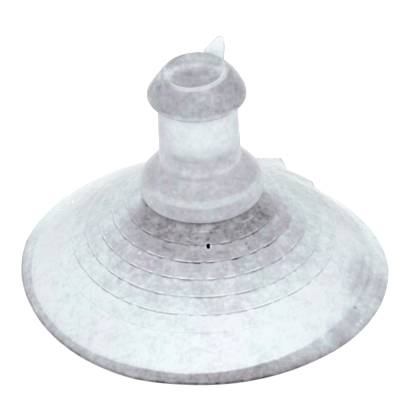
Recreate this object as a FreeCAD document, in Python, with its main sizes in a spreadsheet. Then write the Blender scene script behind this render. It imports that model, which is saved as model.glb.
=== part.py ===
import FreeCAD, Part
import math
import os
import Sketcher

# Clear suction cup, moulded in one piece: a skirt with concentric terraces, a hub,
# a neck and a mushroom head with a dished top. Millimetres and degrees.
# The lip rests on Z = 0 and the stem stands along +Z.

sizes = {
    # Lip and skirt
    "rim_radius": 22.5,
    "lip_edge": 0.15,
    "land_width": 2.2,
    "skirt_angle": 33.6,
    "cavity_flare": 1.2,
    "cavity_dome_radius": 11.5,
    # Terraces on the skirt
    "terrace_start": 1.8,
    "terrace_pitch": 1.71,
    "terrace_drop": 0.18,
    "plain_lip_band": 3.5,
    # Hub
    "hub_radius": 7.3,
    "hub_undercut": 0.3,
    "hub_gap": 0.42,
    "flange_height": 1.75,
    "flange_draft": 0.13,
    "ledge_width": 0.3,
    "ledge_rise": 0.4,
    "dome_height": 2,
    "dome_radius": 9.5,
    # Neck
    "neck_foot_radius": 4.8,
    "neck_top_radius": 4.55,
    "neck_length": 8.3,
    # Head
    "head_radius": 5.65,
    "head_under_bevel": 0.4,
    "head_band": 0.5,
    "crown_height": 2.75,
    "crown_radius": 9,
    "dish_radius": 3.2,
    "dish_depth": 1.6,
    "lip_width": 0.5,
    "lip_bevel": 0.13,
    # Flank where the lip is drawn in, with the tab and the spur left beside it
    "flank_inset": 0.6,
    "flank_shift": 3.1,
    "flank_angle": 43.5,
    "flank_from": -35,
    "flank_to": 51,
    "tab_inset": 2.2,
    "tab_from": 40,
    "tab_to": 96,
    "hub_clearance": 2,
    "cut_margin": 2,
    "spur_angle": 63.3,
    "spur_reach": 0.5,
    "spur_spread": 6.2,
    "spur_root": 2.4,
    "spur_thickness": 0.3,
    # Thin tail of the moulding behind the head
    "tail_left": 0.9,
    "tail_right": 3.25,
    "tail_shoulder": 3.47,
    "tail_tip": 3.3,
    "tail_tip_width": 0.7,
    "tail_root": 1,
    "tail_shoulder_rise": 1.05,
    "tail_tip_rise": 1.95,
    "tail_thickness": 0.5,
    "tail_set_back": 3.9,
}

doc = FreeCAD.newDocument("SuctionCup")
sheet = doc.addObject("Spreadsheet::Sheet", "Sizes")
for row, (name, number) in enumerate(sizes.items(), start=1):
    sheet.set(f"A{row}", name)
    sheet.set(f"B{row}", str(number))
    sheet.setAlias(f"B{row}", name)
doc.recompute()


class Length:
    # A length as a number, to draw with, and as the sheet formula that drives it
    def __init__(self, number, formula):
        self.number = number
        self.formula = formula

    def __add__(self, other):
        return Length(self.number + other.number, f"{self.formula} + {other.formula}")

    def __sub__(self, other):
        return Length(self.number - other.number, f"{self.formula} - ({other.formula})")

    def times(self, other):
        return Length(self.number * other.number, f"({self.formula}) * ({other.formula})")

    def opposite(self):
        return Length(-self.number, f"-({self.formula})")


def size(name):
    return Length(sizes[name], f"Sizes.{name}")


def turned(function, angle):
    # Sine, cosine or tangent of an angle in degrees
    return Length(
        getattr(math, function)(math.radians(angle.number)),
        f"{function}(({angle.formula}) * 1deg)",
    )


def polar(radius, angle):
    return radius.times(turned("cos", angle)), radius.times(turned("sin", angle))


zero = Length(0, "0")
half = Length(0.5, "0.5")


def new_sketch(body, name, plane):
    sketch = body.newObject("Sketcher::SketchObject", name)
    for feature in body.Origin.OriginFeatures:
        if feature.Role == plane:
            sketch.AttachmentSupport = [(feature, "")]
    sketch.MapMode = "FlatFace"
    return sketch


def tie(sketch, kind, name, references, length):
    # A named dimension that follows its sheet formula
    index = sketch.addConstraint(Sketcher.Constraint(kind, *references, length.number))
    sketch.renameConstraint(index, name)
    sketch.setExpression(f"Constraints.{name}", length.formula)


def place(sketch, name, curve, end, across, up):
    # Holds one point by its distances from the sketch's two axes
    for axis, kind, length, axis_line in (
        ("across", "DistanceX", across, -2),
        ("up", "DistanceY", up, -1),
    ):
        if length is zero:
            sketch.addConstraint(Sketcher.Constraint("PointOnObject", curve, end, axis_line))
        elif length.number < 0:
            tie(sketch, kind, f"{name}_{axis}", (curve, end, -1, 1), length.opposite())
        else:
            tie(sketch, kind, f"{name}_{axis}", (-1, 1, curve, end), length)


def bulged(start, end, radius):
    # Point halfway along an arc from start to end; a positive radius bulges to the
    # right of that direction
    chord = end - start
    rise = abs(radius) - math.sqrt(radius**2 - (chord.Length / 2) ** 2)
    side = FreeCAD.Vector(chord.y, -chord.x, 0).normalize()
    return (start + end) / 2 + side * math.copysign(rise, radius)


def draw_outline(sketch, corners, arcs):
    # Closed outline through the named corners. Sides are straight unless arcs gives
    # the side that starts at a corner: its signed radius, and a size name or "axis"
    # where the arc's centre lies on the sketch's vertical axis
    points = [FreeCAD.Vector(across.number, up.number, 0) for name, across, up in corners]
    ends = []
    for number, (name, across, up) in enumerate(corners):
        start = points[number]
        end = points[(number + 1) % len(points)]
        if name in arcs:
            radius, driver = arcs[name]
            curve = sketch.addGeometry(Part.Arc(start, bulged(start, end, radius), end))
        else:
            curve = sketch.addGeometry(Part.LineSegment(start, end))
        forward = sketch.getPoint(curve, 1).distanceToPoint(start) < 1e-6
        ends.append((curve, 1, 2) if forward else (curve, 2, 1))
    for number, (name, across, up) in enumerate(corners):
        curve, first, last = ends[number]
        following, next_first, next_last = ends[(number + 1) % len(ends)]
        sketch.addConstraint(
            Sketcher.Constraint("Coincident", curve, last, following, next_first)
        )
        place(sketch, name, curve, first, across, up)
        if name in arcs and arcs[name][1] == "axis":
            sketch.addConstraint(Sketcher.Constraint("PointOnObject", curve, 3, -2))
        elif name in arcs:
            tie(sketch, "Radius", f"{name}_radius", (curve,), size(arcs[name][1]))


def axis_arc_radius(edge_radius, depth):
    # Radius of an arc with its centre on the axis, from its edge and its depth
    return (edge_radius**2 + depth**2) / (2 * depth)


# Heights up the skirt, from the lip's edge to the hub's foot
slope = turned("tan", size("skirt_angle"))
cavity_angle = size("skirt_angle") + size("cavity_flare")


def skirt_height(radius):
    return size("lip_edge") + (size("rim_radius") - radius).times(slope)


# Heights up the stem, each standing on the one before
hub_foot_radius = size("hub_radius") - size("hub_undercut")
hub_foot_z = skirt_height(hub_foot_radius)
hub_base_z = hub_foot_z + size("hub_gap")
flange_top_z = hub_base_z + size("flange_height")
flange_top_radius = size("hub_radius") - size("flange_draft")
ledge_z = flange_top_z + size("ledge_rise")
ledge_radius = flange_top_radius - size("ledge_width")
hub_top_z = ledge_z + size("dome_height")
head_under_z = hub_top_z + size("neck_length")
band_foot_z = head_under_z + size("head_under_bevel")
equator_z = band_foot_z + size("head_band")
head_top_z = equator_z + size("crown_height")
dish_lip_radius = size("dish_radius") + size("lip_width")
crest_z = head_top_z + size("lip_bevel")
dish_bottom_z = head_top_z - size("dish_depth")

# The cavity runs up from the sealing land as a cone and closes in a dome tangent to it
land_radius = size("rim_radius") - size("land_width")
dome_edge = size("cavity_dome_radius")
cavity_shoulder_z = (land_radius - dome_edge).times(turned("tan", cavity_angle))
cavity_dome_rise = dome_edge.times(turned("tan", cavity_angle.times(half)))
cavity_top_z = cavity_shoulder_z + cavity_dome_rise

cup = doc.addObject("PartDesign::Body", "suction_cup")
cup.Label = "suction_cup"

# Half section of the moulding, up the skirt from the lip and back down the axis
corners = [
    ("foot_centre", zero, zero),
    ("land_outside", size("rim_radius"), zero),
    ("lip_top", size("rim_radius"), size("lip_edge")),
]

# Terraces, outermost first: each one drops a little to the next
first_terrace = size("hub_radius") + size("terrace_start")
stepped_width = sizes["rim_radius"] - sizes["plain_lip_band"] - first_terrace.number
terrace_count = int(stepped_width / sizes["terrace_pitch"]) + 1
terrace_radius = first_terrace
terraces = []
for number in range(terrace_count):
    foot_z = skirt_height(terrace_radius)
    terraces.append((f"terrace_{number}_crest", terrace_radius, foot_z + size("terrace_drop")))
    terraces.append((f"terrace_{number}_foot", terrace_radius, foot_z))
    terrace_radius = terrace_radius + size("terrace_pitch")
corners += reversed(terraces)

corners += [
    ("hub_foot", hub_foot_radius, hub_foot_z),
    ("hub_gap_top", hub_foot_radius, hub_base_z),
    ("flange_base", size("hub_radius"), hub_base_z),
    ("flange_top", flange_top_radius, flange_top_z),
    ("ledge", ledge_radius, ledge_z),
    ("neck_foot", size("neck_foot_radius"), hub_top_z),
    ("neck_top", size("neck_top_radius"), head_under_z),
    ("head_underside", size("head_radius") - size("head_under_bevel"), head_under_z),
    ("band_foot", size("head_radius"), band_foot_z),
    ("equator", size("head_radius"), equator_z),
    ("dish_lip_outside", dish_lip_radius, head_top_z),
    ("dish_crest_outside", dish_lip_radius - size("lip_bevel"), crest_z),
    ("dish_crest_inside", size("dish_radius") + size("lip_bevel"), crest_z),
    ("dish_lip_inside", size("dish_radius"), head_top_z),
    ("dish_bottom", zero, dish_bottom_z),
]
arcs = {
    "ledge": (sizes["dome_radius"], "dome_radius"),
    "equator": (sizes["crown_radius"], "crown_radius"),
    "dish_lip_inside": (-axis_arc_radius(sizes["dish_radius"], sizes["dish_depth"]), "axis"),
}


def turn_section(body, name, corners, arcs):
    section = new_sketch(body, f"{name}Section", "XZ_Plane")
    draw_outline(section, corners, arcs)
    feature = body.newObject("PartDesign::Revolution", name)
    feature.Profile = section
    feature.ReferenceAxis = (section, ["V_Axis"])
    feature.Angle = 360
    doc.recompute()


turn_section(cup, "Moulding", corners, arcs)

# The air space under the skirt, taken out of the moulding once both are drawn in
cavity = doc.addObject("PartDesign::Body", "suction_cavity")
cavity_corners = [
    ("cavity_top", zero, cavity_top_z),
    ("cavity_shoulder", dome_edge, cavity_shoulder_z),
    ("land_inside", land_radius, zero),
    ("mouth", land_radius, size("cut_margin").opposite()),
    ("mouth_centre", zero, size("cut_margin").opposite()),
]
dome_arc = (-axis_arc_radius(dome_edge.number, cavity_dome_rise.number), "axis")
turn_section(cavity, "Hollow", cavity_corners, {"cavity_top": dome_arc})


def draw_in(body, name, shift, edge, inner_radius, angle, span):
    # Cuts off what lies outside a cone steeper than the skirt. The cone's axis stands
    # shifted towards -Y, and the cut turns about it from the first angle to the last
    edge_radius, edge_z = edge
    first, last = span
    top_z = edge_z + (edge_radius - inner_radius).times(turned("tan", angle))
    beyond = size("rim_radius") + shift + size("cut_margin")
    below = size("cut_margin").opposite()
    outline = [
        ("foot", edge_radius, below),
        ("edge", edge_radius, edge_z),
        ("top", inner_radius, top_z),
        ("top_far", beyond, top_z),
        ("foot_far", beyond, below),
    ]
    sketch = new_sketch(body, f"{name}Outline", "XZ_Plane")
    turn = FreeCAD.Rotation(FreeCAD.Vector(0, 1, 0), first.number)
    sketch.AttachmentOffset = FreeCAD.Placement(FreeCAD.Vector(), turn)
    sketch.setExpression(".AttachmentOffset.Base.z", shift.formula)
    sketch.setExpression(".AttachmentOffset.Rotation.Angle", f"({first.formula}) * 1deg")
    draw_outline(sketch, outline, {})
    whole = body.Shape.Volume
    groove = body.newObject("PartDesign::Groove", name)
    groove.Profile = sketch
    groove.ReferenceAxis = (sketch, ["V_Axis"])
    groove.setExpression("Angle", (last - first).formula)
    doc.recompute()
    if body.Shape.Volume > whole - 1:
        raise ValueError(f"{name} cut nothing")


# The soft lip is drawn in along one flank. A second cut starts inside the flank's deeper
# one and leaves a low tab between them, then runs on behind the spur. The cavity is drawn
# in too, so the land keeps its width
flank_radius = size("rim_radius") - size("flank_inset")
tab_radius = size("rim_radius") - size("tab_inset")
cavity_flank_angle = size("flank_angle") + size("cavity_flare")
hub_reach = size("hub_radius") + size("hub_clearance")
flank_span = (size("flank_from"), size("flank_to"))
tab_span = (size("tab_from"), size("tab_to"))
for body, edge_inset, edge_z, angle in (
    (cup, zero, size("lip_edge"), size("flank_angle")),
    (cavity, size("land_width"), zero, cavity_flank_angle),
):
    shift = size("flank_shift")
    flank_edge = (flank_radius - edge_inset, edge_z)
    tab_edge = (tab_radius - edge_inset, edge_z)
    draw_in(body, "Flank", shift, flank_edge, hub_reach + shift, angle, flank_span)
    draw_in(body, "Tab", zero, tab_edge, hub_reach, angle, tab_span)

hollowing = cup.newObject("PartDesign::Boolean", "Hollowing")
hollowing.Type = "Cut"
hollowing.setObjects([cavity])
doc.recompute()

# Pointed spur left standing on the lip in the middle of the second cut
spur = new_sketch(cup, "SpurOutline", "XY_Plane")
root_radius = size("rim_radius") - size("spur_root")
spur_near = size("spur_angle") + size("spur_spread")
spur_far = size("spur_angle") - size("spur_spread")
spur_corners = [
    ("near", *polar(root_radius, spur_near)),
    ("far", *polar(root_radius, spur_far)),
    ("tip", *polar(size("rim_radius") + size("spur_reach"), size("spur_angle"))),
]
draw_outline(spur, spur_corners, {})
lip_spur = cup.newObject("PartDesign::Pad", "LipSpur")
lip_spur.Profile = spur
lip_spur.setExpression("Length", "Sizes.spur_thickness")
doc.recompute()

# Thin leaf-shaped tail standing behind the head's dish
tail = new_sketch(cup, "TailOutline", "XZ_Plane")
tail.setExpression(".AttachmentOffset.Base.z", "-Sizes.tail_set_back")
tail_root_z = equator_z + size("tail_root")
tail_corners = [
    ("root_left", size("tail_left"), tail_root_z),
    ("root_right", size("tail_right"), tail_root_z),
    ("shoulder", size("tail_shoulder"), head_top_z + size("tail_shoulder_rise")),
    ("tip", size("tail_tip"), head_top_z + size("tail_tip_rise")),
    ("tip_left", size("tail_tip") - size("tail_tip_width"), head_top_z + size("tail_tip_rise")),
    ("left_edge", size("tail_left"), head_top_z),
]
draw_outline(tail, tail_corners, {})
head_tail = cup.newObject("PartDesign::Pad", "HeadTail")
head_tail.Profile = tail
head_tail.Midplane = True
head_tail.setExpression("Length", "Sizes.tail_thickness")
doc.recompute()

# Nothing is written unless every object is sound and the moulding is one solid
for item in doc.Objects:
    if "Invalid" in item.State or "Error" in item.State:
        raise ValueError(f"{item.Name} did not rebuild: {item.State}")
if cup.Shape.isNull() or not cup.Shape.isValid() or len(cup.Shape.Solids) != 1:
    raise ValueError("the moulding is not one valid solid")

os.makedirs("parts", exist_ok=True)
cup.Shape.exportStep(f"parts/{cup.Label}.step")
box = cup.Shape.BoundBox
print(f"{cup.Label}: {cup.Shape.Volume:.1f} mm3, {terrace_count} terraces")
print(f"box {box.XMin:.2f} to {box.XMax:.2f}, {box.YMin:.2f} to {box.YMax:.2f}, top {box.ZMax:.2f}")
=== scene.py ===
import math
import bmesh
import bpy
from mathutils import Matrix, Vector
from mathutils.bvhtree import BVHTree


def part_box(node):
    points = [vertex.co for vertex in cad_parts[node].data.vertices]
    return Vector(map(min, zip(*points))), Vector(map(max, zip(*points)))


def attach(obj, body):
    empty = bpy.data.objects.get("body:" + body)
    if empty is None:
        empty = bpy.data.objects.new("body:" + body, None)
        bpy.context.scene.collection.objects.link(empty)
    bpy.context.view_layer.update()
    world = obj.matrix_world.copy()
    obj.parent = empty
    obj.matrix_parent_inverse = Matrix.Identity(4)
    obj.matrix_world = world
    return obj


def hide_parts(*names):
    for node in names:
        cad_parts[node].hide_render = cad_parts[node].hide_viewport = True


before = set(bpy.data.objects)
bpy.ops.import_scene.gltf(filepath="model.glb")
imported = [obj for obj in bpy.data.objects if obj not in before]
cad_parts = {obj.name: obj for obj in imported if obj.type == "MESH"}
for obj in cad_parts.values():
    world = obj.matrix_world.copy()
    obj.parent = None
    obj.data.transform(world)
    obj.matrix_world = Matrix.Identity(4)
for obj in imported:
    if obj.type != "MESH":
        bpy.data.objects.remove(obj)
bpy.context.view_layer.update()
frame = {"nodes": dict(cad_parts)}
print("frame loaded:", ", ".join(frame["nodes"]))

mm = 0.001  # the sizes below are in millimetres, Blender's are in metres
samePlace = 1e-7  # metres, within which two points are one


# The moulding: one turned section, with the flank, the lean and the dish's tilt put in after the spin
moulding = {
    "rimRadius": -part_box("suction_cup")[0].x / mm,
    "segments": 360,       # round the stem
    "lipEdge": 0.15,
    "landWidth": 2.2,      # flat ring that seals
    "skirtAngle": 33.6,
    "cavityFlare": 1.2,    # the cavity's cone is steeper than the skirt by this
    "cavityDomeRadius": 11.5,
    "flankAngle": 43.5,    # where the lip is drawn in
    "creaseWidth": 0.8,    # softens the edge between flank and skirt
    "creaseOpening": 0.3,  # and starts sharp at the lip, widening by this per height
    "edgeLine": 0.25,      # painted shade line along the lip, this wide
    "hubFoot": (7.0, 10.45),   # radius, height
    "flangeBase": (7.3, 10.87),
    "flangeLow": (7.25, 11.37),    # this and the next keep the flange's lines narrow
    "flangeHigh": (7.21, 12.12),
    "flangeTop": (7.17, 12.62),
    "ledge": (6.87, 13.02),
    "neckFoot": (4.8, 15.02),
    "shoulderRadius": 9.5,
    "neckTop": (4.55, 23.32),
    "underBevel": 0.4,
    "headRadius": 5.65,
    "bandHeight": 0.5,
    "dishLip": (3.7, 26.97),
    "lipRise": 0.13,
    "crownRadius": 9.0,
    "dishRadius": 3.2,
    "dishDepth": 1.6,
    # Roundings of the corners
    "landRound": 0.2,
    "sharpRound": 0.05,    # lip, terraces and the flange's underside
    "hubFootRound": 0.1,
    "flangeRound": 0.12,
    "ledgeRound": 0.2,
    "neckFootRound": 0.35,
    "neckTopRound": 0.15,
    "headRound": 0.2,
    "crestRound": 0.14,
    # How finely the section is divided
    "rowSpacing": 0.9,     # between the points on its long straights
    "domeSteps": 16,
    "shoulderSteps": 14,
    "crownSteps": 12,
    "dishSteps": 14,
    "cornerSteps": 4,
    # Painted shade lines at the hub's foot and on the flange, and a painted highlight on the crest
    "hubFootShadow": 0.15,
    "flangeBaseLine": 0.1,
    "flangeTopLine": 0.08,
    "crestHighlight": -0.3,
    # Tones of stem, crown and dish by height: the top of each belt and its tone
    "stemBelts": [(13.4, "shoulderFoot"), (14.2, "shoulderLow"), (15.5, "shoulderTop"), (16.6, "neckFoot"),
                  (18.2, "neckLow"), (math.inf, "neck")],
    "crownBelts": [(26.25, "head"), (math.inf, "headTop")],
    "dishBelts": [(25.85, "dishFloor"), (26.3, "dishSide"), (math.inf, "dishWall")],
    "stemMilk": 0.37,      # thick plastic is less clear than the thin skirt
    "headMilk": 0.15,
    "lineMilk": 0.31,      # and so are the pale painted highlight lines
    "lean": -0.0165,       # sideways per height: the soft stem stands a degree off
    "dishTilt": (0.06, 0.05),    # the head's top rises to the right and to the back, by this per millimetre
    "dishDrop": 0.09,
    "tiltFrom": 24.0,      # heights from which the tilt starts and is full
    "tiltFull": 26.5,
    "dishShift": -0.15,    # the dish is off the crown's middle
    "shiftWithin": 4.7,    # radius outside which the crown isn't
}

# Tones on the section, at the front and at the back: 0 is the palest milk white, 0.8 a dark grey, 1 black.
# The front and back values differ as painted shade and painted highlight. The last word says how the front one fades
# into the back one round the stem
tones = {
    "cavity": (0.05, 0.05, "skirt"),
    # painted shade along the lip, darkest at the front
    "lip": (0.4, 0.08, "rim"),
    "plain": (0.04, 0.01, "skirt"),
    # painted shade: the bands round the hub darken at the front, where the stem and hub show through the skirt
    "band6": (0.05, 0.02, "skirt"),
    "band5": (0.13, 0.06, "skirt"),
    "band4": (0.22, 0.08, "skirt"),
    "band3": (0.33, 0.09, "skirt"),
    "band2": (0.52, 0.1, "skirt"),
    "band1": (0.7, 0.12, "skirt"),
    # painted shade in the gap under the flange
    "hubGapShade": (0.66, 0.25, "skirt"),
    "flange": (0.34, 0.22, "foot"),
    "ledge": (0.22, 0.3, "skirt"),
    "shoulderFoot": (0.26, 0.32, "skirt"),
    "shoulderLow": (0.37, 0.32, "skirt"),
    "shoulderTop": (0.36, 0.33, "skirt"),
    "neckFoot": (0.24, 0.3, "skirt"),
    "neckLow": (0.35, 0.26, "foot"),
    # painted shade on the neck's sides, pale at its front
    "neck": (0.08, 0.27, "neck"),
    "headUnder": (0.4, 0.4, "skirt"),
    "head": (0.37, 0.36, "skirt"),
    # painted shadow on the head's top below the crest at the front, and a painted highlight on the crest
    "headTop": (0.38, 0.28, "crest"),
    "crestSide": (0.08, 0.3, "crest"),
    "crest": (-0.05, 0.28, "crest"),
    "dishWall": (0.25, 0.2, "skirt"),
    "dishSide": (0.3, 0.3, "skirt"),
    "dishFloor": (0.35, 0.35, "skirt"),
}
# Share of the front tone by bearing, in degrees from +X towards the back: how far round the painted shade and
# painted highlights of the front reach
spreads = {
    "skirt": [(-172, 0.05), (-158, 0.5), (-138, 0.95), (-120, 1), (-58, 1), (-40, 1), (-24, 0.95), (-10, 0.5),
              (5, 0.08), (20, 0), (165, 0)],
    "rim": [(-180, 0.5), (-150, 0.8), (-120, 1), (-80, 1), (-60, 0.4), (-40, 0.12), (-20, 0), (20, 0),
            (35, 0.5), (80, 0.5), (95, 0), (150, 0), (165, 0.3)],
    "foot": [(-150, 0), (-125, 0.7), (-105, 1), (-75, 1), (-55, 0.7), (-30, 0), (100, 0)],
    "neck": [(-160, 0), (-115, 0.9), (-75, 1), (-35, 0.7), (-10, 0.3), (100, 0.5)],
    "crest": [(-150, 0), (-132, 0.55), (-115, 1), (-20, 1), (0, 0.6), (15, 0)],
}
# Terraces from the hub outwards: radius, drop, tone inside it, strengths of the painted highlight line on its
# edge and the painted shade line below. The outer ones are fainter
terraces = [
    (9.1, 0.18, "band1", 0.55, 0.7),
    (10.81, 0.18, "band2", 0.6, 1.0),
    (12.52, 0.18, "band3", 0.45, 1.0),
    (14.23, 0.18, "band4", 0.3, 1.0),
    (15.94, 0.15, "band5", 0.15, 0.8),
    (17.65, 0.1, "band6", 0.05, 0.1),
]
terraceGuard = 0.14  # a line ends this far from its step
# Strength of all lines by bearing: the painted highlight and shade lines are strongest at the front and fade towards
# the back
lineFade = [
    (-180, 0.6), (-165, 0.8), (-140, 1), (-50, 1), (-38, 0.75), (-24, 0.35), (-14, 0.1), (0, 0.05), (60, 0),
    (150, 0.1), (165, 0.4),
]
# The broken painted highlight line round the hub, which shows only in front
hubLine = {
    "radius": 7.68,
    "strength": -0.6,
    "fade": [(-180, 0), (-150, 0), (-130, 0.9), (-60, 1), (-35, 1), (-22, 0), (150, 0)],
}

# The lip by bearing: its radius, which is drawn in at the rear right beside two nibs, and how dark its painted shade
# band is
lipOutline = [
    (-25, 22.55), (-9.3, 22.2), (-0.2, 21.77), (8.5, 21.26), (19, 20.67), (30.6, 20.15), (39.4, 19.73), (43.6, 19.9),
    (46.2, 20.6), (47.7, 20.75), (49.6, 20.27), (53.5, 20.2), (56.3, 20.3), (59.4, 21.5), (61.7, 22.5), (63, 23.05),
    (64.5, 22.4), (66, 22.0), (67.5, 21.5), (70, 20.9), (73, 20.5), (88, 20.6), (100, 21.6), (110, 22.25),
    (129, 22.25), (150, 22.5), (168, 22.8), (180, 22.6), (200, 22.35), (215, 22.4), (248, 22.75), (262, 22.5),
    (300, 22.55), (315, 22.7), (325, 22.65),
]
roundLip = 22.2  # below this the lip is drawn in by the flank's cone
pullStart = 11.5  # radius from which the skirt follows its lip
bandStrength = [
    (-180, 0.25), (-150, 0.35), (-125, 0.45), (-105, 0.9), (-75, 1), (-55, 0.45), (-35, 0.15), (-15, 0.08), (5, 0.05),
    (30, 0.05), (150, 0.05), (165, 0.15),
]


def shareOf(value, start, full):
    # 0 up to the start, 1 from full on, straight between them
    return min(max((value - start) / (full - start), 0), 1)


def aroundStem(loop, bearing):
    # Straight between a list's points, right round
    loop = loop + [(loop[0][0] + 360, loop[0][1])]
    bearing = (bearing - loop[0][0]) % 360 + loop[0][0]
    for (fromBearing, fromValue), (toBearing, toValue) in zip(loop, loop[1:]):
        if bearing <= toBearing:
            return fromValue + shareOf(bearing, fromBearing, toBearing) * (toValue - fromValue)


def arcBetween(start, end, radius, count):
    # Points between two section points, on an arc that bulges to the right of the way there
    start, end = Vector(start), Vector(end)
    chord = end - start
    side = Vector((chord.y, -chord.x)).normalized()
    centre = (start + end) / 2 - side * math.sqrt(radius ** 2 - (chord.length / 2) ** 2)
    turn = 2 * math.asin(chord.length / 2 / radius)
    arm = start - centre
    return [tuple(centre + Matrix.Rotation(turn * i / count, 2) @ arm) for i in range(1, count)]


def straightBetween(start, end):
    # Points between two section points, evenly spaced
    start, end = Vector(start), Vector(end)
    count = math.ceil((end - start).length / moulding["rowSpacing"])
    return [tuple(start.lerp(end, i / count)) for i in range(1, count)]


def toned(points, tone):
    # Rows of the section, with no rounding and no line
    return [(*point, 0, tone, 0) for point in points]


def belted(points, belts):
    # The same with a tone by height
    return [(*point, 0, next(tone for top, tone in belts if point[1] < top), 0) for point in points]


def turnedSection():
    # Half section from the cavity's top out to the lip and back up to the dish: radius, height, rounding, tone, line
    m = moulding
    rim = m["rimRadius"]
    slope = math.tan(math.radians(m["skirtAngle"]))
    cavityAngle = math.radians(m["skirtAngle"] + m["cavityFlare"])
    land = (rim - m["landWidth"], 0)
    domeEdge = (m["cavityDomeRadius"], (land[0] - m["cavityDomeRadius"]) * math.tan(cavityAngle))
    domeTop = (0.0, domeEdge[1] + domeEdge[0] * math.tan(cavityAngle / 2))
    domeArc = arcBetween(domeEdge, domeTop, domeEdge[0] / math.sin(cavityAngle), m["domeSteps"])
    section = toned([domeTop] + domeArc[::-1] + [domeEdge] + straightBetween(domeEdge, land), "cavity")
    section += [
        (*land, m["landRound"], "cavity", 0),
        (rim, 0, m["sharpRound"], "lip", 0),
        (rim, m["lipEdge"], m["sharpRound"], "lip", 0),
        (rim - m["edgeLine"], m["lipEdge"] + m["edgeLine"] * slope, 0, "plain", 0),
    ]
    outside, tone = section[-1][:2], "plain"
    for radius, drop, innerTone, pale, dark in terraces[::-1]:
        foot = m["lipEdge"] + (rim - radius) * slope
        landing = (radius + terraceGuard, foot - terraceGuard * slope)
        section += toned(straightBetween(outside, landing) + [landing], tone)
        outside = (radius - terraceGuard, foot + drop + terraceGuard * slope)
        section += [
            (radius, foot, m["sharpRound"], tone, dark),
            (radius, foot + drop, m["sharpRound"], innerTone, -pale),
            (*outside, 0, innerTone, 0),
        ]
        tone = innerTone
    for step, line in ((1, 0), (0, hubLine["strength"]), (-1, 0)):
        radius = hubLine["radius"] + step * terraceGuard
        section.append((radius, m["lipEdge"] + (rim - radius) * slope, 0, tone, line))
    section += [
        (*m["hubFoot"], m["hubFootRound"], "hubGapShade", m["hubFootShadow"]),
        (m["hubFoot"][0], m["flangeBase"][1], m["sharpRound"], "hubGapShade", m["hubFootShadow"]),
        (*m["flangeBase"], m["flangeRound"], "flange", m["flangeBaseLine"]),
        (*m["flangeLow"], 0, "flange", 0),
        (*m["flangeHigh"], 0, "flange", 0),
        (*m["flangeTop"], m["flangeRound"], "flange", m["flangeTopLine"]),
        (*m["ledge"], m["ledgeRound"], "ledge", 0),
    ]
    section += belted(arcBetween(m["ledge"], m["neckFoot"], m["shoulderRadius"], m["shoulderSteps"]), m["stemBelts"])
    section.append((*m["neckFoot"], m["neckFootRound"], "shoulderTop", 0))
    section += belted(straightBetween(m["neckFoot"], m["neckTop"]), m["stemBelts"])
    headFoot = (m["headRadius"], m["neckTop"][1] + m["underBevel"])
    headBand = (m["headRadius"], headFoot[1] + m["bandHeight"])
    section += [
        (*m["neckTop"], m["neckTopRound"], "neck", 0),
        (m["headRadius"] - m["underBevel"], m["neckTop"][1], m["neckTopRound"], "headUnder", 0),
        (*headFoot, m["headRound"], "head", 0),
        (*headBand, m["headRound"], "head", 0),
    ]
    section += belted(arcBetween(headBand, m["dishLip"], m["crownRadius"], m["crownSteps"]), m["crownBelts"])
    dishEdge = (m["dishRadius"], m["dishLip"][1])
    dishBottom = (0.0, m["dishLip"][1] - m["dishDepth"])
    dishCurve = (m["dishRadius"] ** 2 + m["dishDepth"] ** 2) / (2 * m["dishDepth"])
    section += [
        (*m["dishLip"], m["crestRound"], "crestSide", 0),
        ((m["dishLip"][0] + m["dishRadius"]) / 2, m["dishLip"][1] + m["lipRise"], m["crestRound"], "crest",
         m["crestHighlight"]),
    ]
    section += belted(arcBetween(dishBottom, dishEdge, dishCurve, m["dishSteps"])[::-1], m["dishBelts"])
    section += toned([dishBottom], "dishFloor")
    return section


def drawnIn(radius, height, lip, inset, angle):
    # Inside the flank's cone, with a crease that is sharp at the lip and soft higher up
    excess = radius - (lip - inset - height / math.tan(math.radians(angle)))
    soft = min(moulding["creaseWidth"], moulding["creaseOpening"] * height)
    if abs(excess) < soft:
        return radius - (excess + soft) ** 2 / (4 * soft)
    return radius - max(excess, 0)


def placeOf(vert):
    # Radius and height in millimetres, bearing in degrees
    return math.hypot(vert.co.x, vert.co.y) / mm, vert.co.z / mm, math.degrees(math.atan2(vert.co.y, vert.co.x))


def spinSection():
    # The turned skin, whose points keep the rounding, tone and line of their row
    bm = bmesh.new()
    roundingLayer = bm.verts.layers.float.new("rounding")
    toneLayer = bm.verts.layers.int.new("tone")
    lineLayer = bm.verts.layers.float.new("line")
    toneNames = list(tones)
    previous = None
    for radius, height, rounding, tone, line in turnedSection():
        vert = bm.verts.new((radius * mm, 0, height * mm))
        vert[roundingLayer], vert[toneLayer], vert[lineLayer] = rounding, toneNames.index(tone), line
        if previous:
            bm.edges.new((previous, vert))
        previous = vert
    for rounding in sorted({v[roundingLayer] for v in bm.verts} - {0}):
        corners = [v for v in bm.verts if v[roundingLayer] == rounding]
        bmesh.ops.bevel(bm, geom=corners, offset=rounding * mm, offset_type="OFFSET", segments=moulding["cornerSteps"],
                        profile=0.5, affect="VERTICES", clamp_overlap=True, material=-1)
    bmesh.ops.spin(bm, geom=bm.verts[:] + bm.edges[:], cent=(0, 0, 0), axis=(0, 0, 1),
                   angle=2 * math.pi, steps=moulding["segments"], use_merge=True)
    bmesh.ops.remove_doubles(bm, verts=bm.verts, dist=samePlace)
    return bm


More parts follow.
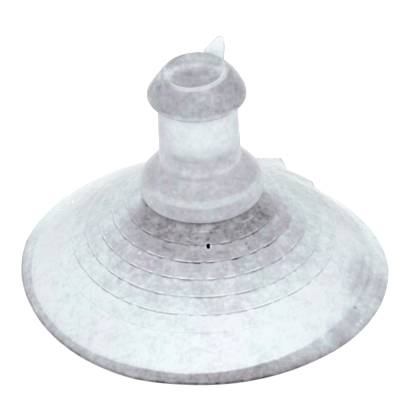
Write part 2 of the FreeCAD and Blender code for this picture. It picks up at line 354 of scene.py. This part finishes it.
def paintSkin(bm):
    # Painted shade and highlights by tone and bearing, milkiness, the painted lines and the lip's painted shade band,
    # while the skin is still round
    m = moulding
    toneNames = list(tones)
    toneLayer, lineLayer = bm.verts.layers.int["tone"], bm.verts.layers.float["line"]
    shadeLayer, milkLayer, bandLayer = [bm.verts.layers.float.new(name) for name in ("shade", "milk", "band")]
    for vert in bm.verts:
        radius, height, bearing = placeOf(vert)
        name = toneNames[vert[toneLayer]]
        front, back, spread = tones[name]
        vert[shadeLayer] = back + (front - back) * aroundStem(spreads[spread], bearing)
        fade = hubLine["fade"] if abs(radius - hubLine["radius"]) < terraceGuard else lineFade
        vert[lineLayer] *= aroundStem(fade, bearing)
        milk = 0
        if height > m["neckTop"][1]:
            milk = m["headMilk"]
        elif height > m["flangeBase"][1]:
            milk = m["stemMilk"]
        vert[milkLayer] = max(milk, -m["lineMilk"] * vert[lineLayer])
        if name != "cavity":
            vert[bandLayer] = aroundStem(bandStrength, bearing)


def settleSkin(bm):
    # The flank draws in the lip and the skirt above it, the head's top dips, and the stem leans
    m = moulding
    cavityTone = list(tones).index("cavity")
    toneLayer = bm.verts.layers.int["tone"]
    for vert in bm.verts:
        radius, height, bearing = placeOf(vert)
        if radius > pullStart and height < m["hubFoot"][1]:
            lip = aroundStem(lipOutline, bearing)
            stretch = (max(lip, roundLip) - pullStart) / (m["rimRadius"] - pullStart)
            newRadius = pullStart + (radius - pullStart) * stretch
            if vert[toneLayer] == cavityTone:
                newRadius = drawnIn(newRadius, height, lip, m["landWidth"], m["flankAngle"] + m["cavityFlare"])
            else:
                newRadius = drawnIn(newRadius, max(height - m["lipEdge"], 0), lip, 0, m["flankAngle"])
            vert.co.x *= newRadius / radius
            vert.co.y *= newRadius / radius
        tilting = shareOf(height, m["tiltFrom"], m["tiltFull"])
        for axis, tilt in enumerate(m["dishTilt"]):
            vert.co.z += tilting * tilt * vert.co[axis]
        vert.co.z -= tilting * m["dishDrop"] * mm
        vert.co.x += tilting * shareOf(radius, m["shiftWithin"], m["dishLip"][0]) * m["dishShift"] * mm
    leaning = Matrix.Identity(4)
    leaning[0][2] = m["lean"]
    bmesh.ops.transform(bm, matrix=leaning, verts=bm.verts)


def spinMoulding():
    bm = spinSection()
    paintSkin(bm)
    settleSkin(bm)
    bmesh.ops.recalc_face_normals(bm, faces=bm.faces)
    return bm


# The tail: a thin leaf of the same plastic behind the dish
tail = {
    # sideways and up, seen from the front; its foot is inside the head
    "outline": [(0.48, 25.4), (2.83, 25.4), (2.95, 27.0), (3.01, 28.0), (2.97, 28.5), (2.84, 28.84), (2.55, 28.94),
                (2.2, 28.86), (1.75, 28.4), (1.15, 27.72), (0.7, 27.25), (0.5, 26.95)],
    "setBack": 3.9,
    "thickness": 0.4,
    "edgeRound": 0.06,
    "edgeSteps": 3,
    "shade": -0.05,
    "milk": 0.25,
    "greyShade": 0.22,     # of a grey line down the right edge
    "greyWidth": 0.25,
    "greyFrom": 2.72,      # sideways
    "greyTop": 28.4,
}


def cutTail():
    bm = bmesh.new()
    back = (tail["setBack"] + tail["thickness"] / 2) * mm
    leaf = bm.faces.new([bm.verts.new((x * mm, back, z * mm)) for x, z in tail["outline"]])
    front = bmesh.ops.extrude_face_region(bm, geom=[leaf])["geom"]
    frontPoints = [v for v in front if isinstance(v, bmesh.types.BMVert)]
    bmesh.ops.translate(bm, vec=(0, -tail["thickness"] * mm, 0), verts=frontPoints)
    bmesh.ops.recalc_face_normals(bm, faces=bm.faces)
    bmesh.ops.bevel(bm, geom=bm.edges[:], offset=tail["edgeRound"] * mm, offset_type="OFFSET",
                    segments=tail["edgeSteps"], profile=0.5, affect="EDGES", clamp_overlap=True, material=-1)
    sides = sorted(bm.faces, key=lambda face: face.calc_area())[-2:]  # the two large ones
    bmesh.ops.inset_region(bm, faces=sides, thickness=tail["greyWidth"] * mm)
    return bm


def paintTail(mesh, points):
    # After the weld, because it gives the points that it adds the values of others
    for point in points:
        place = mesh.vertices[point].co
        atGrey = place.x > tail["greyFrom"] * mm and place.z < tail["greyTop"] * mm
        values = {"shade": tail["greyShade"] if atGrey else tail["shade"], "milk": tail["milk"], "line": 0, "band": 0}
        for name, value in values.items():
            mesh.attributes[name].data[point].value = value


def makeObject(bm, name):
    mesh = bpy.data.meshes.new(name)
    bm.to_mesh(mesh)
    bm.free()
    mesh.shade_smooth()
    piece = bpy.data.objects.new(name, mesh)
    bpy.context.scene.collection.objects.link(piece)
    return piece


def weld(body, addition):
    # One closed skin from two overlapping ones. Gives back the points that came with the addition
    added = BVHTree.FromObject(addition, bpy.context.evaluated_depsgraph_get())
    joint = body.modifiers.new("joint", "BOOLEAN")
    joint.operation, joint.solver, joint.object = "UNION", "EXACT", addition
    bpy.context.view_layer.update()
    skin = bpy.data.meshes.new_from_object(body.evaluated_get(bpy.context.evaluated_depsgraph_get()))
    body.modifiers.clear()
    body.data = skin
    skin.set_sharp_from_angle(angle=math.radians(50))  # at the seam
    bpy.data.objects.remove(addition)
    return [v.index for v in skin.vertices if added.find_nearest(v.co, samePlace)[0]]


cup = makeObject(spinMoulding(), "suctionCup")
leaf = makeObject(cutTail(), "tail")
leaf.data.shade_flat()  # its edges are rounded already
leafPoints = weld(cup, leaf)
paintTail(cup.data, leafPoints)
print("moulding:", len(cup.data.polygons), "faces")


def hexColour(text):
    # sRGB hex to the linear colour that the nodes take
    parts = [int(text[i:i + 2], 16) / 255 for i in (1, 3, 5)]
    return [p / 12.92 if p <= 0.04045 else ((p + 0.055) / 1.055) ** 2.4 for p in parts] + [1]


def addNode(owner, kind, links=None, inputs=None, **settings):
    node = owner.node_tree.nodes.new(kind)
    for name, value in settings.items():
        setattr(node, name, value)
    for socket, value in (inputs or {}).items():
        node.inputs[socket].default_value = value
    for socket, source in (links or {}).items():
        owner.node_tree.links.new(source, node.inputs[socket])
    return node


# Plasticised PVC, injection moulded: clear but milky, so light comes through it and walls look white to grey-lilac by
# their depth, with a soft gloss, cloudy mottling and a few specks in the plastic. Its colour also carries painted
# shade and painted highlights, from the shade, line and band attributes and from the marks
pvc = {
    "ior": 1.53,
    "roughness": 0.25,
    "gloss": 0.5,
    "transmission": 0.65,
    "ramp": [(0, "#fcfdfd"), (0.1, "#ecf1f2"), (0.2, "#dcdfe2"), (0.32, "#cbc9cf"), (0.45, "#bab4bc"),
             (0.58, "#a79ea6"), (0.7, "#90868d"), (0.8, "#756c73"), (1, "#000000")],
    "blotchSize": 1.6,     # mm, of the larger mottling
    "blotchShade": 0.3,
    "fleckSize": 0.5,      # and of the finer one
    "fleckShade": 0.3,
    "milkCalm": 1.2,       # mottling is weaker where the plastic is milky
    "mottleFloor": 0.6,    # and where it is palest
    "driftSize": 5.0,      # mm, of the slow change between a cool white and a pinkish one
    "driftFrom": 0.35,     # noise values at which it is all cool and all pinkish
    "driftTo": 0.65,
    "coolTint": "#e8f9f7",
    "warmTint": "#f4f2fb",
    "tintShare": 0.5,
    "colourSize": 1.2,     # mm, of the pinkish, bluish and greenish flecks
    "colourShare": 0.25,
    "lineShade": 0.5,
    "gapLength": 1.2,      # mm, of the gaps in the lines
    "gapBelow": 0.42,      # noise values of a gap and of a whole line
    "wholeAbove": 0.54,
    "gapShare": 0.05,      # of a line's strength left in a gap
    "dullFrom": 1.0,       # shades at which a speck starts to hide the plastic and hides it
    "dullFull": 1.2,
}
# The sealing land seen through the clear lip, painted on the top as a band of shade: distance from the band's own
# centre, darkness
landBand = {
    "centre": (-0.67, -0.98, 0),
    "profile": [(20.4, 0), (20.6, 1), (20.95, 0.9), (21.2, 0.75), (21.6, 0.85), (22.4, 0.8), (23.2, 0.7)],
    "shade": 0.6,
}
# Soft streaks along the lip at the right
streaks = {
    "centre": (19.5, -7.5, 1.5),
    "fadeFrom": 1.5,       # mm from there at which they start to fade
    "fadeTo": 6.0,
    "width": 0.8,
    "shade": 0.35,
    "middle": 0.45,        # noise value that changes nothing
}
# Marks in and on the plastic, and spots of painted shade and painted highlight: place, radius, how soft the edge is,
# and what it adds to the shade
marks = [
    ((0.3, -9.2, 9.06), 0.42, 0.4, -0.3),        # black speck, longer than wide, with a pale rim
    ((0.3, -9.28, 9.0), 0.21, 0.2, 2.0),
    ((0.3, -9.12, 9.12), 0.21, 0.2, 2.0),
    ((-7.63, -8.3, 7.7), 0.2, 0.5, -0.25),       # white dot
    ((-9.96, -10.56, 5.52), 0.4, 0.5, 0.12),     # small bubble
    ((-7.2, -1.75, 10.62), 0.35, 0.6, 0.3),      # painted shadow line at the hub's foot on the left
    ((-7.05, -2.2, 10.62), 0.35, 0.6, 0.3),
    ((-6.8, -2.68, 10.6), 0.35, 0.6, 0.3),
    ((-7.6, -3.9, 9.6), 1.2, 0.7, 0.12),         # painted shade beside it
    ((6.6, -4.6, 9.9), 1.2, 0.7, 0.1),
    ((16.98, -11.86, 1.31), 0.22, 0.4, 0.4),     # dark specks at the right
    ((4.68, -8.48, 8.68), 0.2, 0.4, 0.3),
    ((4.95, -8.95, 8.38), 0.2, 0.4, 0.3),
    ((18.9, -8.2, 1.4), 3.0, 0.8, 0.15),         # broad painted shade in the lip at the right
    ((18.4, -4.6, 2.2), 2.6, 0.8, 0.1),
    ((18.6, 4.8, 2.2), 3.6, 0.7, 0.06),
    ((9.8, -14.9, 3.2), 4.5, 0.8, -0.05),        # and a broad painted highlight before it
    ((14.3, 15.1, 0.3), 0.9, 0.6, 0.2),          # darker at the nibs beside the drawn-in flank
    ((10.3, 20.3, 0.3), 1.0, 0.6, 0.12),
    ((16.53, -13.01, 1.11), 1.3, 0.6, 0.18),     # small spots of painted shade on the lip, front right
    ((14.6, -15.5, 0.9), 1.3, 0.6, 0.14),
    ((19.0, -10.7, 0.6), 0.28, 0.6, -0.25),      # painted glints beside them
    ((19.25, -10.2, 0.6), 0.28, 0.6, -0.25),
    ((19.5, -9.7, 0.6), 0.25, 0.6, -0.25),
    ((17.6, -13.3, 0.45), 0.25, 0.6, -0.2),
    ((17.1, -13.85, 0.45), 0.25, 0.6, -0.2),
    ((-4.8, -1.57, 25.9), 0.45, 0.6, 0.2),       # darker spots in the head
    ((-3.77, -2.33, 26.6), 0.4, 0.6, 0.18),
    ((4.24, -1.68, 25.46), 0.8, 0.7, 0.16),
    ((-1.15, -4.42, 26.11), 0.6, 0.7, 0.12),
    ((-3.9, 0.1, 27.0), 1.1, 0.7, -0.05),        # painted highlight on the dish's left shoulder
    ((-1.43, 0.82, 25.59), 0.8, 0.7, 0.1),       # painted shade on the dish's floor
    ((0.41, 1.74, 25.87), 0.8, 0.7, 0.1),
]


def softPvc():
    s = pvc
    mat = bpy.data.materials.new("softPvc")
    mat.use_nodes = True
    mat.node_tree.nodes.clear()
    place = addNode(mat, "ShaderNodeTexCoord").outputs["Object"]
    shade = addNode(mat, "ShaderNodeAttribute", attribute_name="shade").outputs["Fac"]
    line = addNode(mat, "ShaderNodeAttribute", attribute_name="line").outputs["Fac"]
    band = addNode(mat, "ShaderNodeAttribute", attribute_name="band").outputs["Fac"]
    milk = addNode(mat, "ShaderNodeAttribute", attribute_name="milk").outputs["Fac"]

    # The lip's painted shade band, by the distance from its own centre
    flat = addNode(mat, "ShaderNodeVectorMath", {0: place}, {1: (1, 1, 0)}, operation="MULTIPLY")
    reach = addNode(mat, "ShaderNodeVectorMath", {0: flat.outputs[0]},
                    {1: [c * mm for c in landBand["centre"]]}, operation="DISTANCE")
    inner, outer = landBand["profile"][0][0], landBand["profile"][-1][0]
    across = addNode(mat, "ShaderNodeMapRange", {"Value": reach.outputs["Value"]},
                     {"From Min": inner * mm, "From Max": outer * mm})
    profile = addNode(mat, "ShaderNodeValToRGB", {"Fac": across.outputs[0]})
    profileStops = [((distance - inner) / (outer - inner), [darkness] * 3 + [1])
                    for distance, darkness in landBand["profile"]]
    bandPart = addNode(mat, "ShaderNodeMath", {0: profile.outputs["Color"], 1: band}, operation="MULTIPLY")
    total = addNode(mat, "ShaderNodeMath", {0: bandPart.outputs[0], 2: shade}, {1: landBand["shade"]},
                    operation="MULTIPLY_ADD")

    # Streaks at the same distances, strongest round their own centre
    rows = addNode(mat, "ShaderNodeTexNoise", {"W": reach.outputs["Value"]},
                   {"Scale": 1 / (streaks["width"] * mm), "Detail": 1}, noise_dimensions="1D")
    centred = addNode(mat, "ShaderNodeMath", {0: rows.outputs["Fac"]}, {1: streaks["middle"]}, operation="SUBTRACT")
    away = addNode(mat, "ShaderNodeVectorMath", {0: place}, {1: [c * mm for c in streaks["centre"]]},
                   operation="DISTANCE")
    fade = addNode(mat, "ShaderNodeMapRange", {"Value": away.outputs["Value"]},
                   {"From Min": streaks["fadeFrom"] * mm, "From Max": streaks["fadeTo"] * mm,
                    "To Min": streaks["shade"], "To Max": 0}, interpolation_type="SMOOTHSTEP")
    total = addNode(mat, "ShaderNodeMath", {0: centred.outputs[0], 1: fade.outputs[0], 2: total.outputs[0]},
                    operation="MULTIPLY_ADD")

    # Painted highlight and shade lines at the terraces, broken here and there
    gaps = addNode(mat, "ShaderNodeTexNoise", {"Vector": place}, {"Scale": 1 / (s["gapLength"] * mm), "Detail": 1})
    whole = addNode(mat, "ShaderNodeMapRange", {"Value": gaps.outputs["Fac"]},
                    {"From Min": s["gapBelow"], "From Max": s["wholeAbove"], "To Min": s["gapShare"], "To Max": 1})
    linePart = addNode(mat, "ShaderNodeMath", {0: line, 1: whole.outputs[0]}, operation="MULTIPLY")
    total = addNode(mat, "ShaderNodeMath", {0: linePart.outputs[0], 2: total.outputs[0]}, {1: s["lineShade"]},
                    operation="MULTIPLY_ADD")

    # Mottling, stronger where the plastic is deeper in tone. The noise runs half up and half down
    weight = addNode(mat, "ShaderNodeMath", {0: total.outputs[0]}, {1: s["mottleFloor"]}, operation="ADD")
    calm = addNode(mat, "ShaderNodeMath", {0: milk}, {1: -s["milkCalm"], 2: 1}, operation="MULTIPLY_ADD")
    weight = addNode(mat, "ShaderNodeMath", {0: weight.outputs[0], 1: calm.outputs[0]}, operation="MULTIPLY")
    for size, amount in ((s["blotchSize"], s["blotchShade"]), (s["fleckSize"], s["fleckShade"])):
        cloud = addNode(mat, "ShaderNodeTexNoise", {"Vector": place},
                        {"Scale": 1 / (size * mm), "Detail": 2, "Roughness": 0.6})
        centred = addNode(mat, "ShaderNodeMath", {0: cloud.outputs["Fac"]}, {1: 0.5}, operation="SUBTRACT")
        scaled = addNode(mat, "ShaderNodeMath", {0: centred.outputs[0], 1: weight.outputs[0]}, operation="MULTIPLY")
        total = addNode(mat, "ShaderNodeMath", {0: scaled.outputs[0], 2: total.outputs[0]}, {1: amount * 2},
                        operation="MULTIPLY_ADD")

    # Marks, and spots of painted shade and painted highlight
    for spot, radius, soft, change in marks:
        distance = addNode(mat, "ShaderNodeVectorMath", {0: place}, {1: [c * mm for c in spot]}, operation="DISTANCE")
        fade = addNode(mat, "ShaderNodeMapRange", {"Value": distance.outputs["Value"]},
                       {"From Min": radius * (1 - soft) * mm, "From Max": radius * (1 + soft) * mm,
                        "To Min": change, "To Max": 0}, interpolation_type="SMOOTHSTEP")
        total = addNode(mat, "ShaderNodeMath", {0: fade.outputs[0], 1: total.outputs[0]}, operation="ADD")

    # The shade's colour, with a slow drift of tint and small coloured flecks
    ramp = addNode(mat, "ShaderNodeValToRGB", {"Fac": total.outputs[0]})
    rampStops = [(position, hexColour(colour)) for position, colour in s["ramp"]]
    for node, stops in ((profile, profileStops), (ramp, rampStops)):
        elements = node.color_ramp.elements
        while len(elements) < len(stops):
            elements.new(0.5)
        for element, (position, colour) in zip(elements, stops):
            element.position, element.color = position, colour
    drift = addNode(mat, "ShaderNodeTexNoise", {"Vector": place},
                    {"Scale": 1 / (s["driftSize"] * mm), "Detail": 3, "Roughness": 0.7})
    warmth = addNode(mat, "ShaderNodeMapRange", {"Value": drift.outputs["Fac"]},
                     {"From Min": s["driftFrom"], "From Max": s["driftTo"]})
    tint = addNode(mat, "ShaderNodeMix", {"Factor": warmth.outputs[0]}, data_type="RGBA")
    tint.inputs["A"].default_value = hexColour(s["coolTint"])
    tint.inputs["B"].default_value = hexColour(s["warmTint"])
    base = addNode(mat, "ShaderNodeMix", {"A": ramp.outputs["Color"], "B": tint.outputs["Result"]},
                   {"Factor": s["tintShare"]}, data_type="RGBA", blend_type="MULTIPLY")
    colours = addNode(mat, "ShaderNodeTexNoise", {"Vector": place},
                      {"Scale": 1 / (s["colourSize"] * mm), "Detail": 2, "Roughness": 0.6})
    base = addNode(mat, "ShaderNodeMix", {"A": base.outputs["Result"], "B": colours.outputs["Color"]},
                   {"Factor": s["colourShare"]}, data_type="RGBA", blend_type="SOFT_LIGHT")

    # Clear where it isn't milky. The black speck is neither clear nor glossy
    clear = addNode(mat, "ShaderNodeMapRange", {"Value": milk}, {"To Min": s["transmission"], "To Max": 0})
    clean = addNode(mat, "ShaderNodeMapRange", {"Value": total.outputs[0]},
                    {"From Min": s["dullFrom"], "From Max": s["dullFull"], "To Min": 1, "To Max": 0})
    clear = addNode(mat, "ShaderNodeMath", {0: clear.outputs[0], 1: clean.outputs[0]}, operation="MULTIPLY")
    gloss = addNode(mat, "ShaderNodeMath", {0: clean.outputs[0]}, {1: s["gloss"]}, operation="MULTIPLY")
    skin = addNode(mat, "ShaderNodeBsdfPrincipled",
                   {"Base Color": base.outputs["Result"], "Transmission Weight": clear.outputs[0],
                    "Specular IOR Level": gloss.outputs[0]}, {"IOR": s["ior"], "Roughness": s["roughness"]})
    addNode(mat, "ShaderNodeOutputMaterial", {"Surface": skin.outputs["BSDF"]})
    return mat


cup.data.materials.append(softPvc())
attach(cup, "root")
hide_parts("suction_cup")
print("material: softPvc")


# The stage: a white floor, white surroundings and one broad soft lamp
stage = {
    "floorRadius": 3.0,    # metres, as the lamp's sizes are
    "floorSides": 96,
    "floorGap": 0.02,      # mm under the lip, so that the two don't share a plane
    "floorColour": "#f4f4f4",
    "seenLift": 0.12,      # added only where the floor is seen, so that it reads white
    "throughLift": 0.42,   # the same through the clear plastic
    "worldLight": 0.95,
    "worldSeen": 1.0,
    "lampWidth": 1.3,
    "lampHeight": 0.5,
    "lampPower": 3.0,
    "lampPlace": (0.0, -0.4, 0.7),
}


def whiteFloor():
    bm = bmesh.new()
    bmesh.ops.create_circle(bm, cap_ends=True, segments=stage["floorSides"], radius=stage["floorRadius"])
    bmesh.ops.translate(bm, vec=(0, 0, -stage["floorGap"] * mm), verts=bm.verts)
    floor = makeObject(bm, "floor")
    mat = bpy.data.materials.new("floorPaper")
    mat.use_nodes = True
    mat.node_tree.nodes.clear()
    rays = addNode(mat, "ShaderNodeLightPath")
    direct = addNode(mat, "ShaderNodeMath", {0: rays.outputs["Is Camera Ray"], 1: rays.outputs["Is Glossy Ray"]},
                     operation="MAXIMUM")
    lift = addNode(mat, "ShaderNodeMath", {0: direct.outputs[0]}, {1: stage["seenLift"]}, operation="MULTIPLY")
    lift = addNode(mat, "ShaderNodeMath", {0: rays.outputs["Is Transmission Ray"], 2: lift.outputs[0]},
                   {1: stage["throughLift"]}, operation="MULTIPLY_ADD")
    paper = addNode(mat, "ShaderNodeBsdfPrincipled", {"Emission Strength": lift.outputs[0]},
                    {"Base Color": hexColour(stage["floorColour"]), "Roughness": 1, "Specular IOR Level": 0,
                     "Emission Color": (1, 1, 1, 1)})
    addNode(mat, "ShaderNodeOutputMaterial", {"Surface": paper.outputs["BSDF"]})
    floor.data.materials.append(mat)


def whiteWorld():
    world = bpy.data.worlds.new("studio")
    world.use_nodes = True
    world.node_tree.nodes.clear()
    rays = addNode(world, "ShaderNodeLightPath")
    direct = addNode(world, "ShaderNodeMath", {0: rays.outputs["Is Camera Ray"], 1: rays.outputs["Is Glossy Ray"]},
                     operation="MAXIMUM")
    seen = addNode(world, "ShaderNodeMath", {0: direct.outputs[0], 1: rays.outputs["Is Transmission Ray"]},
                   operation="MAXIMUM")
    strength = addNode(world, "ShaderNodeMapRange", {"Value": seen.outputs[0]},
                       {"To Min": stage["worldLight"], "To Max": stage["worldSeen"]})
    sky = addNode(world, "ShaderNodeBackground", {"Strength": strength.outputs[0]}, {"Color": (1, 1, 1, 1)})
    addNode(world, "ShaderNodeOutputWorld", {"Surface": sky.outputs[0]})
    bpy.context.scene.world = world


def softLamp():
    lamp = bpy.data.lights.new("softbox", "AREA")
    lamp.shape, lamp.size, lamp.size_y = "RECTANGLE", stage["lampWidth"], stage["lampHeight"]
    lamp.energy = stage["lampPower"]
    holder = bpy.data.objects.new("softbox", lamp)
    bpy.context.scene.collection.objects.link(holder)
    holder.location = stage["lampPlace"]
    holder.rotation_euler = (-holder.location).to_track_quat("-Z", "Y").to_euler()


whiteFloor()
whiteWorld()
softLamp()
print("stage: floor, surroundings and lamp")


# The camera looks down on the cup from the front
view = {
    "orbitCentre": Vector((0, 0, 13.5)) * mm,
    "distance": 180 * mm,
    "elevation": 35.27,
    "aim": Vector((-0.479, 0, 8.854)) * mm,
    "roll": -2.149,
    "lens": 138.25,
    "sensor": 36,
    "clipStart": 0.01,     # metres
    "clipEnd": 20,
}


def frontCamera():
    camera = bpy.data.objects.new("camera", bpy.data.cameras.new("camera"))
    bpy.context.scene.collection.objects.link(camera)
    camera.data.lens, camera.data.sensor_width = view["lens"], view["sensor"]
    camera.data.clip_start, camera.data.clip_end = view["clipStart"], view["clipEnd"]
    up = math.radians(view["elevation"])
    camera.location = view["orbitCentre"] + view["distance"] * Vector((0, -math.cos(up), math.sin(up)))
    facing = (view["aim"] - camera.location).to_track_quat("-Z", "Y")
    camera.rotation_euler = (facing.to_matrix() @ Matrix.Rotation(math.radians(view["roll"]), 3, "Z")).to_euler()
    bpy.context.scene.camera = camera


frontCamera()
bpy.context.scene.view_settings.view_transform = "Standard"
print("camera set")
